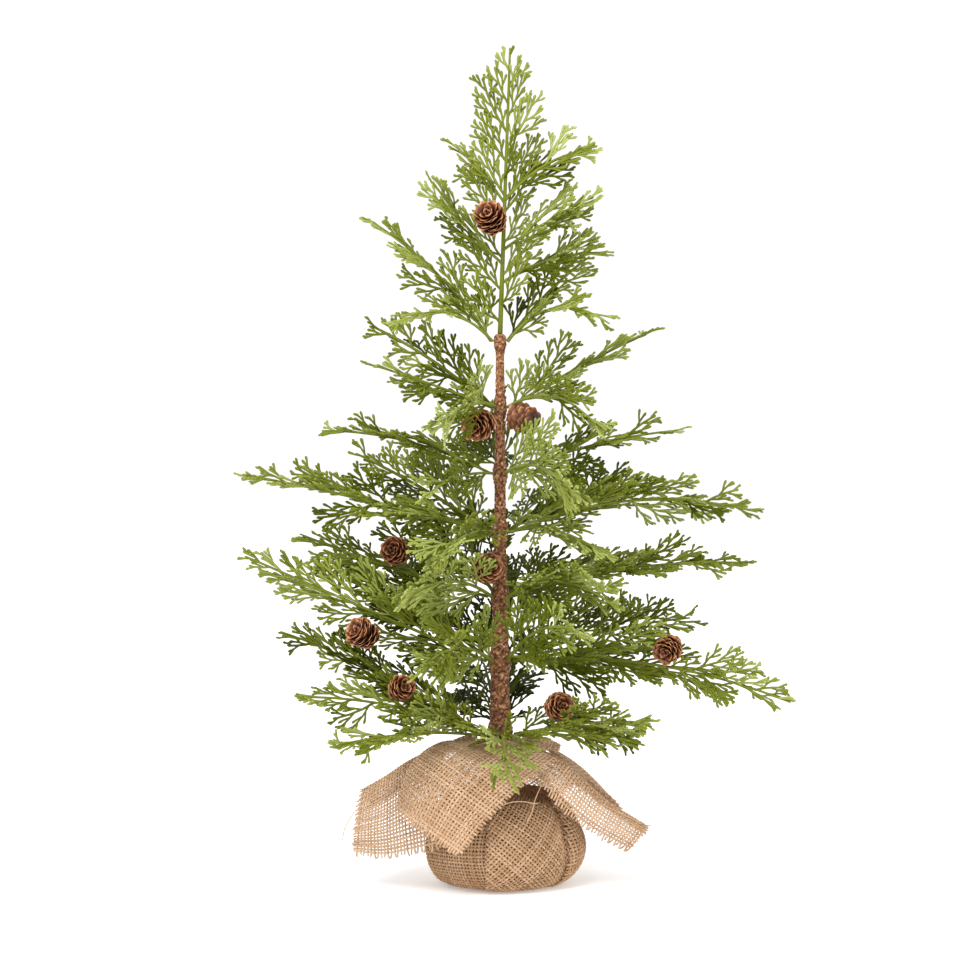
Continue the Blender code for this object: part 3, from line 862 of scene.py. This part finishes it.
def bark_material():
    """Crumbled red-brown bark on glue: dark hollows, tan grains and odd pale ones."""
    made, tree, shader = new_material("bark_crumbs", 0.75)
    relief = add(tree, "ShaderNodeAttribute", attribute_name="relief")
    grains = texture(tree, "ShaderNodeTexVoronoi", Scale=620.0)
    split = add(tree, "ShaderNodeSeparateColor")
    tree.links.new(grains.outputs["Color"], split.inputs["Color"])
    value = shifted(tree, relief.outputs["Fac"], split.outputs["Red"], -0.30, 0.36)
    stops = (
        (0.0, (0.055, 0.017, 0.006)),
        (0.30, (0.200, 0.072, 0.024)),
        (0.60, (0.350, 0.148, 0.056)),
        (0.85, (0.490, 0.250, 0.115)),
        (1.0, (0.640, 0.400, 0.230)),
    )
    colour_by(tree, shader, value, stops)
    relief_by(tree, shader, grains.outputs["Distance"], 0.5, 0.5 * MM)
    return made


# -------- burlap

# The pitch and size of the cloth's threads, and the side of the square that was cut.
THREAD_PITCH = 2.62 * MM
THREAD_HALF_WIDTH = 0.93 * MM
THREAD_FLATNESS = 0.52
THREAD_LIFT = 0.45 * MM
# Thread width where the weave has pulled open and where it is bunched, against the usual one.
LOOSE_WEAVE = 0.80
TIGHT_WEAVE = 1.14
# How the threads differ in tone, and how far they stray and wave, in pitches.
THREAD_TONE_SPREAD = 0.07
THREAD_STRAY = 0.045
THREAD_WAVE = 0.06
# The waves start at one of this many random phases.
PHASES = 64

# The sack's outline, as (radius, height) in mm from the middle of its underside to its neck.
SACK_OUTLINE = (
    (0, 1.2), (20, 1.2), (34, 1.3), (43.5, 2.8), (50, 8), (54.4, 16), (56.6, 27), (55.2, 39), (50, 51.5),
    (43.5, 61), (36, 66.5), (27, 69), (18.5, 71), (15.2, 78), (15.2, 92), (16.5, 98),
)
# Tones of the sack's cloth, below and above the height where its shoulder turns in to the neck. Both are
# darker than the flaps' tone as painted shade: the sack's for the shade of the flaps and foliage over it,
# and the gather's, darkest, for the hollow under the flaps.
SHOULDER_HEIGHT = 64.0 * MM
SACK_PAINTED_SHADE_TONE = 0.36
FLAP_TONE = 0.5
GATHER_PAINTED_SHADE_TONE = 0.12
# Panels between the sack's pleats: where each starts and ends in degrees, and its weave's turn.
SACK_PANELS = ((191, 256, 3), (256, 327, -40), (327, 384, 12), (24, 80, 24), (80, 136, -14), (136, 191, 6))
# The sack leans to +X of the trunk by this much above its foot.
SACK_LEAN = 3.4 * MM
# Cloth nearer the sack's axis than this is laid out as if it were this far from it.
SMALLEST_TURN_RADIUS = 6 * MM
# A panel's threads run this far, and half the outline's length more, each way from its middle. The
# panel goes this far under the next one, and its leading edge stands out by this step more.
PANEL_REACH = 62 * MM
PANEL_UNDERLAP = 10.0 * MM
PANEL_STEP = 1.6 * MM
# How far each panel's leading edge rolls out over the panel under it, and over what share of it.
EDGE_ROLL = 2.0 * MM
EDGE_SHARE = 0.06
# The collar of gathered cloth over the neck: its inner radius and height, the cloth's length from
# there outwards, and the radius at which its girth is measured.
COLLAR_RADIUS = 15.5 * MM
COLLAR_HEIGHT = 95.5 * MM
COLLAR_WIDTH = 30 * MM
COLLAR_MIDDLE = 34 * MM

# Control points of the flaps in mm, in rows from the hem up to and over their ridge.
LEFT_FLAP = (
    ((-106, -16, 25), (-83, -30, 25), (-59, -46, 31.3), (-34.5, -56, 38.6)),
    ((-104.5, -14, 47), (-82, -32, 51.4), (-61, -47, 61), (-37.4, -53, 72)),
    ((-101, -6, 68.6), (-84, -14, 78.5), (-66.6, -22, 90), (-42, -28, 103.5)),
    ((-99, 8, 63), (-82, 12, 72), (-64.6, 16, 84), (-39.6, 12, 96.3)),
    ((-95.7, 18, 54), (-80, 26, 61), (-63.6, 32, 71), (-43, 34, 83)),
)
FRONT_FLAP = (
    ((-29.4, -74, 33), (-47, -76, 45.4), (-65.5, -66, 56.6), (-74.4, -50, 64)),
    ((-9.7, -71, 57.3), (-31.5, -77, 74.4), (-50, -64, 87), (-63, -44, 93.4)),
    ((14, -62, 79.4), (-12, -66, 95), (-30, -50, 104), (-43.4, -28, 106.4)),
    ((40, -38, 96), (15.5, -36, 106.7), (-4.5, -16, 107), (-22, 4, 103)),
)
RIGHT_FLAP = (
    ((12, -38, 90), (29, -46, 80), (42.5, -46, 63.5), (64.3, -36, 45.5), (92.4, -22, 28)),
    ((15, -32, 98), (32.5, -43, 89.3), (48, -46, 74), (70, -37, 56), (99.6, -22, 37)),
    ((21, -20, 102), (40, -33, 97), (57, -31, 82.4), (75.7, -22, 64.4), (106.5, -10, 43.7)),
    ((28, -4, 100), (43.4, -14, 88), (61.7, -10, 71), (81.6, -4, 53), (105.5, 4, 36.6)),
)
BACK_FLAP = (
    ((11, 106, 28), (-22, 94, 44), (-50, 66, 66)),
    ((40, 92, 47), (5, 76, 74), (-32, 46, 90)),
    ((60, 56, 68), (30, 42, 92), (-8, 24, 102)),
)
BACK_RIGHT_FLAP = (
    ((96, 40, 40), (74, 62, 52), (48, 72, 68)),
    ((84, 22, 58), (62, 40, 78), (38, 50, 90)),
    ((50, 2, 86), (36, 20, 98), (20, 26, 103)),
)
# Loose threads: each a line of points in mm.
LOOSE_THREADS = (
    ((-106, -14, 54.5), (-112, -20, 44.5), (-114, -24, 35.7)),
    ((-2, -66, 66), (8, -69, 69.6), (16.5, -67, 69.6), (24.3, -62, 67.6), (26.5, -58, 67.4)),
    ((29, -50, 79), (24.4, -60, 70), (22, -64, 62), (18.7, -63, 55)),
    ((38.5, -37, 96), (47, -37, 88), (58.7, -33, 76.6), (70, -31, 64.5), (85, -25, 56), (101.3, -17, 47.5)),
)
LOOSE_THREAD_RADIUS = 0.36 * MM


def smooth_line(points, count):
    """count evenly spaced points on a Catmull-Rom line through points."""
    points = np.asarray(points, float)
    padded = np.concatenate(([2 * points[0] - points[1]], points, [2 * points[-1] - points[-2]]))
    t = np.linspace(0, len(points) - 1, 40 * len(points))
    return evenly_spaced(catmull_rom(padded, t), count)


def catmull_rom(padded, t):
    """The line's points at t, where padded holds one more control point at each end."""
    i = np.clip(t.astype(int), 0, len(padded) - 4)
    f = (t - i)[:, None]
    a, b, c, d = padded[i], padded[i + 1], padded[i + 2], padded[i + 3]
    cubic = (3 * b - a - 3 * c + d) * f**3
    return 0.5 * (2 * b + (c - a) * f + (2 * a - 5 * b + 4 * c - d) * f**2 + cubic)


def net_surface(net):
    """(surface, width, height): surface(a, b) for cloth lengths a across and b up from the hem."""
    net = np.asarray(net, float) * MM
    dense = 60
    rows = np.stack([smooth_line(row, dense) for row in net])
    grid = np.stack([smooth_line(rows[:, k], dense) for k in range(dense)], axis=1)
    width = np.linalg.norm(np.diff(grid, axis=1), axis=2).sum(axis=1).mean()
    height = np.linalg.norm(np.diff(grid, axis=0), axis=2).sum(axis=0).mean()

    def surface(a, b):
        x = np.clip(a / width, 0, 1) * (dense - 1.001)
        y = np.clip(b / height, 0, 1) * (dense - 1.001)
        i, j = y.astype(int), x.astype(int)
        v, u = (y - i)[:, None], (x - j)[:, None]
        low = grid[i, j] * (1 - u) + grid[i, j + 1] * u
        high = grid[i + 1, j] * (1 - u) + grid[i + 1, j + 1] * u
        return low * (1 - v) + high * v

    return surface, width, height


def normals_of(surface, a, b):
    step = 0.8 * MM
    along = surface(a + step, b) - surface(a - step, b)
    up = surface(a, b + step) - surface(a, b - step)
    normal = np.cross(along, up)
    return normal / (np.linalg.norm(normal, axis=1)[:, None] + 1e-12)


class Cloth:
    """Woven threads laid on surfaces and collected into one piece."""

    def __init__(self, seed):
        self.builder = Builder()
        self.rng = random.Random(seed)
        self.phases = [self.rng.uniform(0, math.tau) for _ in range(PHASES)]
        self.thickness = 1.0
        self.tone = FLAP_TONE

    def frayed_end(self, tip, before, length):
        """Two more points past the tip of a thread, for a free end of this length."""
        rng = self.rng
        away = unit(tip - before)
        sway = np.array((rng.gauss(0, 0.16), rng.gauss(0, 0.16), rng.gauss(-0.08, 0.16)))
        return [tip + away * length * t + sway * length * t * t for t in (0.5, 1.0)]

    def thread(self, path, normal, tone, ends):
        """One thread along path, with frayed ends of the given lengths beyond the cloth."""
        rng = self.rng
        if ends[0] > 0:
            ray = self.frayed_end(path[0], path[1], ends[0])
            path = np.concatenate((ray[::-1], path))
            normal = np.concatenate((normal[:1], normal[:1], normal))
        if ends[1] > 0:
            ray = self.frayed_end(path[-1], path[-2], ends[1])
            path = np.concatenate((path, ray))
            normal = np.concatenate((normal, normal[-1:], normal[-1:]))
        slub = 1 + 0.09 * np.sin(np.arange(len(path)) * rng.uniform(0.05, 0.22) + rng.uniform(0, 6.28))
        radii = THREAD_HALF_WIDTH * self.thickness * rng.uniform(0.9, 1.08) * slub
        self.builder.tube(path, radii, normal, tone, 4, THREAD_FLATNESS)

    def lay(self, surface, lines, frays=(0, 0)):
        """Threads along lines, each (a, b, lifts, keep): raised by lifts and cut where keep is false."""
        for a, b, lifts, keep in lines:
            runs = np.flatnonzero(np.diff(np.concatenate(((0,), keep.astype(int), (0,)))))
            tone = self.rng.gauss(self.tone, THREAD_TONE_SPREAD)
            for first, last in zip(runs[::2], runs[1::2]):
                if last - first < 3:
                    continue
                part = slice(first, last)
                normal = normals_of(surface, a[part], b[part])
                path = surface(a[part], b[part]) + normal * lifts[part, None]
                ends = [fray * self.rng.uniform(0.3, 1.15) if fray > 0 else 0.0 for fray in frays]
                self.thread(path, normal, tone, ends)

    def lines(self, sign, skipped, width, height, step):
        """Threads across a patch, one per pitch of its height: (along, across, lifts, keep) of each."""
        crossings, count = int(width / THREAD_PITCH), int(height / THREAD_PITCH)
        crossing, pitch = width / crossings, height / count
        along = np.arange(2 * crossings + 1) * crossing / 2
        made = []
        for j in range(skipped, count + 1):
            wave = np.sin(along / (9 * MM) + self.phases[(j * step) % PHASES])
            wobble = self.rng.gauss(0, THREAD_STRAY) * pitch + THREAD_WAVE * pitch * wave
            lifts = sign * THREAD_LIFT * np.cos(math.pi * (along / crossing + j))
            across = np.clip(j * pitch + wobble, 0, height)
            made.append((along, across, lifts, np.ones(len(lifts), bool)))
        return made

    def weave(self, surface, width, height, fray_a=(0, 0), fray_b=(0, 0), bare=1):
        """A patch of cloth: threads along a and along b. The frays are their free lengths past it."""
        rows = self.lines(1, bare if max(fray_b) > 0 else 0, width, height, 1)
        self.lay(surface, rows, fray_a)
        columns = self.lines(-1, bare if max(fray_a) > 0 else 0, height, width, 7)
        self.lay(surface, [(a, b, lifts, keep) for b, a, lifts, keep in columns], fray_b)


def sack_profile():
    """(radii, heights, lengths) along the sack's outline."""
    line = smooth_line(np.array(SACK_OUTLINE) * MM, 400)
    return line[:, 0], line[:, 1], line_lengths(line)


def sack_point(turn, along, step, profile):
    """Points of the sack's cloth at turns round it (radians) and lengths along its outline."""
    radii, heights, lengths = profile
    r = np.interp(along, lengths, radii)
    z = np.interp(along, lengths, heights)
    degrees = np.degrees(turn) % 360
    up = np.clip(z / (60 * MM), 0, 1)
    side = np.clip(r / (50 * MM), 0, 1)
    valley = np.exp(-(((degrees - 326) / 5.5) ** 2))
    valley = valley * np.sin(math.pi * np.clip((z - 6 * MM) / (78 * MM), 0, 1))
    bulge = np.exp(-(((degrees - 346) / 13) ** 2)) * np.exp(-(((z - 28 * MM) / (20 * MM)) ** 2))
    cheek = np.exp(-(((degrees - 290) / 26) ** 2)) * np.exp(-(((z - 52 * MM) / (12 * MM)) ** 2))
    r = r - 4.5 * MM * valley + 2.2 * MM * bulge + 2.6 * MM * cheek
    r = r + side * MM * (0.9 * np.sin(3 * turn + 1.0) + 0.7 * np.sin(7 * turn + 6 * up) * up)
    r = r + step * side
    lean = SACK_LEAN * side * (1 - np.exp(-z / (9 * MM)))
    toe = 1.9 * MM * np.clip(side * 1.4 - 0.4, 0, 1) * np.clip(-np.cos(turn), 0, 1) * (1 - up)
    return np.stack((r * np.cos(turn) + lean, r * np.sin(turn), np.maximum(z + toe, 1.0 * MM)), axis=-1)


def panel_turn(a, b, middle, profile):
    """(turn, radius) round the sack at cloth lengths a from the panel's middle and b up its outline."""
    r = np.maximum(np.interp(b, profile[2], profile[0]), SMALLEST_TURN_RADIUS)
    return middle + a / r, r


def panel_surface(start, end, profile):
    """surface(a, b) of the panel from start to end, in radians, standing proud at its leading edge."""
    top = profile[2][-1]

    def surface(a, b):
        turn, _ = panel_turn(a, b, (start + end) / 2, profile)
        share = np.clip((turn - start) / (end - start), 0.0, 1.0)
        roll = EDGE_ROLL * (share / EDGE_SHARE) * np.exp(1 - share / EDGE_SHARE)
        step = PANEL_STEP * (0.5 - share) + roll * np.clip(b / (60 * MM), 0, 1)
        return sack_point(turn, np.clip(b, 0, top), step, profile)

    return surface


def panel_lines(cloth, start, end, forward, sideways, sign, profile):
    """The threads that run one way over a panel, kept between start and just past end."""
    top = profile[2][-1]
    reach = PANEL_REACH + top / 2
    steps = np.arange(-reach, reach, THREAD_PITCH / 2)
    count = int(reach / THREAD_PITCH)
    lines = []
    for n in range(-count, count + 1):
        wobble = 0.07 * THREAD_PITCH * np.sin(steps / (11 * MM) + cloth.phases[n % PHASES])
        offset = n * THREAD_PITCH + wobble + cloth.rng.gauss(0, 0.035) * THREAD_PITCH
        a = steps * forward[0] + offset * sideways[0]
        b = top / 2 + steps * forward[1] + offset * sideways[1]
        turn, r = panel_turn(a, b, (start + end) / 2, profile)
        keep = (turn > start) & (turn < end + PANEL_UNDERLAP / r)
        if keep.any():
            lines.append((a, b, sign * THREAD_LIFT * np.cos(math.pi * (steps / THREAD_PITCH + n)), keep))
    return lines


def weave_sack(cloth):
    profile = sack_profile()
    top = profile[2][-1]
    shoulder = float(np.interp(SHOULDER_HEIGHT, profile[1], profile[2]))
    # Painted shade: the sack's threads are darker than the flaps', and darkest in the gather above the
    # shoulder.
    parts = ((3 * MM, shoulder, SACK_PAINTED_SHADE_TONE), (shoulder - THREAD_PITCH / 2, top, GATHER_PAINTED_SHADE_TONE))
    for start, end, weave_turn in SACK_PANELS:
        start, end, turned_by = math.radians(start), math.radians(end), math.radians(weave_turn)
        surface = panel_surface(start, end, profile)
        along = np.array((math.cos(turned_by), math.sin(turned_by)))
        across = np.array((-along[1], along[0]))
        for forward, sideways, sign in ((along, across, 1), (across, -along, -1)):
            lines = panel_lines(cloth, start, end, forward, sideways, sign, profile)
            for low, high, tone in parts:
                cloth.tone = tone
                band = [(a, b, lifts, keep & (b > low) & (b < high)) for a, b, lifts, keep in lines]
                cloth.lay(surface, band)
    cloth.tone = FLAP_TONE


def collar_surface():
    """The gathered cloth above the neck, from the tie outwards to where the flaps hang."""

    def surface(a, b):
        turn = a / COLLAR_MIDDLE
        share = np.clip(b / COLLAR_WIDTH, -0.05, 1.15)
        ruffle = np.sin(9 * turn + 1.2 * np.sin(2 * turn)) * (1.6 * MM + 1.6 * MM * share)
        r = COLLAR_RADIUS + share * (25 * MM + 4 * MM * np.sin(3 * turn + 0.6))
        rise = 8.5 * MM * np.sin(math.pi * np.clip(share * 0.62 + 0.08, 0, 1))
        fall = 7.0 * MM * np.clip(share - 0.55, 0, 1)
        z = COLLAR_HEIGHT + rise + ruffle * (1 - 0.5 * share) - fall
        return np.stack((r * np.cos(turn), r * np.sin(turn), z), axis=-1)

    return surface, math.tau * COLLAR_MIDDLE, COLLAR_WIDTH


def build_burlap(material):
    cloth = Cloth("burlap")
    weave_sack(cloth)
    cloth.thickness = TIGHT_WEAVE
    cloth.weave(*collar_surface(), fray_b=(0, 1.5 * MM), bare=0)
    cloth.thickness = 1.0
    cloth.weave(*net_surface(FRONT_FLAP), fray_a=(1.4 * MM, 0), fray_b=(2.2 * MM, 0))
    cloth.thickness = LOOSE_WEAVE
    cloth.weave(*net_surface(LEFT_FLAP), fray_a=(1.8 * MM, 0), fray_b=(1.8 * MM, 1.8 * MM))
    cloth.weave(*net_surface(RIGHT_FLAP), fray_a=(0, 2.4 * MM), fray_b=(2.2 * MM, 0))
    for net in (BACK_FLAP, BACK_RIGHT_FLAP):
        cloth.weave(*net_surface(net), fray_a=(2.6 * MM, 0), fray_b=(2.6 * MM, 0))
    for points in LOOSE_THREADS:
        line = smooth_line(np.array(points) * MM, 6 * len(points))
        cloth.builder.tube(line, LOOSE_THREAD_RADIUS, np.array((0.3, -0.9, 0.3)), 0.55, 5, 0.9)
    piece = cloth.builder.object("burlap_weave", material)
    stand_in(piece, "base", "burlap_wrap")
    return piece


def burlap_material():
    """Jute: tan threads that differ a little, with fibre streaks, flecks and a matt skin."""
    made, tree, shader = new_material("burlap_jute", 0.9, 0.15)
    tone = add(tree, "ShaderNodeAttribute", attribute_name="tone")
    cloudy = texture(tree, "ShaderNodeTexNoise", Scale=38.0, Detail=3.0, Roughness=0.6)
    fibres = texture(tree, "ShaderNodeTexNoise", Scale=900.0, Detail=3.0, Roughness=0.7)
    value = shifted(tree, tone.outputs["Fac"], cloudy.outputs["Fac"], -0.14, 0.14)
    value = shifted(tree, value, fibres.outputs["Fac"], -0.26, 0.26)
    stops = (
        (0.0, (0.250, 0.137, 0.076)),
        (0.30, (0.420, 0.248, 0.132)),
        (0.60, (0.620, 0.420, 0.270)),
        (1.0, (0.800, 0.600, 0.430)),
    )
    colour_by(tree, shader, value, stops)
    relief_by(tree, shader, fibres.outputs["Fac"], 0.4, 0.3 * MM)
    return made


# -------- CAD nodes that stay

# Each node that keeps its CAD shape: material, speckle scale, dark and pale colour, roughness, metallic.
PLAIN_NODES = {
    "weight_block": ("cement_cast", 240.0, (0.10, 0.075, 0.055), (0.20, 0.155, 0.115), 0.9, 0),
    "trunk_rod": ("steel_drawn", 600.0, (0.25, 0.25, 0.26), (0.42, 0.42, 0.43), 0.4, 1),
    "neck_tie": ("twine_jute", 500.0, (0.30, 0.17, 0.08), (0.62, 0.42, 0.24), 0.9, 0),
}


def speckled_material(name, scale, dark, pale, roughness, metallic):
    """Noise-driven colour and relief for the plain hidden parts."""
    made, tree, shader = new_material(name, roughness, metallic=metallic)
    noise = texture(tree, "ShaderNodeTexNoise", Scale=scale, Detail=5.0, Roughness=0.6)
    colour_by(tree, shader, noise.outputs["Fac"], ((0.3, dark), (0.7, pale)))
    relief_by(tree, shader, noise.outputs["Fac"], 0.5, 0.4 * MM)
    return made


def finish_plain_nodes():
    for node, looks in PLAIN_NODES.items():
        material = speckled_material(*looks)
        for slot in frame["nodes"][node].material_slots:
            slot.material = material


# -------- stage

CAMERA_PLACE = Vector((-0.0146, -2.0, 0.35))
CAMERA_AIM = Vector((-0.0146, 0.0, 0.295))
CAMERA_LENS = 103.06
LIGHT_AIM = Vector((0, 0, 0.3))
# Square area lights: name, place, side and power.
LIGHTS = (("key", (-0.7, -1.7, 2.1), 1.1, 42), ("fill", (1.6, -1.4, 1.0), 1.6, 9))
WORLD_STRENGTH = 1.06
FLOOR_HALF = 6.0
FLOOR_GLOW = 0.3


def placed(name, data, place, target):
    """A new object at place, facing target."""
    made = bpy.data.objects.new(name, data)
    made.location = place
    made.rotation_mode = "QUATERNION"
    made.rotation_quaternion = (target - Vector(place)).to_track_quat("-Z", "Y")
    bpy.context.scene.collection.objects.link(made)
    return made


def build_floor():
    h = FLOOR_HALF
    mesh = bpy.data.meshes.new("floor")
    mesh.from_pydata([(-h, -h, 0), (h, -h, 0), (h, h, 0), (-h, h, 0)], [], [(0, 1, 2, 3)])
    paper, _, shader = new_material("pale_floor", 1.0, 0.0)
    shader.inputs["Base Color"].default_value = (0.9, 0.9, 0.9, 1)
    shader.inputs["Emission Color"].default_value = (1, 1, 1, 1)
    shader.inputs["Emission Strength"].default_value = FLOOR_GLOW
    mesh.materials.append(paper)
    floor = bpy.data.objects.new("floor", mesh)
    bpy.context.scene.collection.objects.link(floor)


def build_stage():
    """The pale floor, an even white world, two soft lights and the camera."""
    build_floor()
    scene = bpy.context.scene
    world = bpy.data.worlds.new("studio")
    world.use_nodes = True
    world.node_tree.nodes["Background"].inputs["Color"].default_value = (1, 1, 1, 1)
    world.node_tree.nodes["Background"].inputs["Strength"].default_value = WORLD_STRENGTH
    scene.world = world
    for name, place, side, power in LIGHTS:
        lamp = bpy.data.lights.new(name, "AREA")
        lamp.shape = "RECTANGLE"
        lamp.size = lamp.size_y = side
        lamp.energy = power
        placed(name, lamp, place, LIGHT_AIM)
    camera = bpy.data.cameras.new("camera")
    camera.lens = CAMERA_LENS
    scene.camera = placed("camera", camera, CAMERA_PLACE, CAMERA_AIM)
    scene.view_settings.view_transform = "Standard"


build_foliage(foliage_material())
cone_scales = cone_material()
for cone in CONES:
    build_cone(cone, cone_scales)
build_bark(bark_material())
burlap = build_burlap(burlap_material())
finish_plain_nodes()
build_stage()
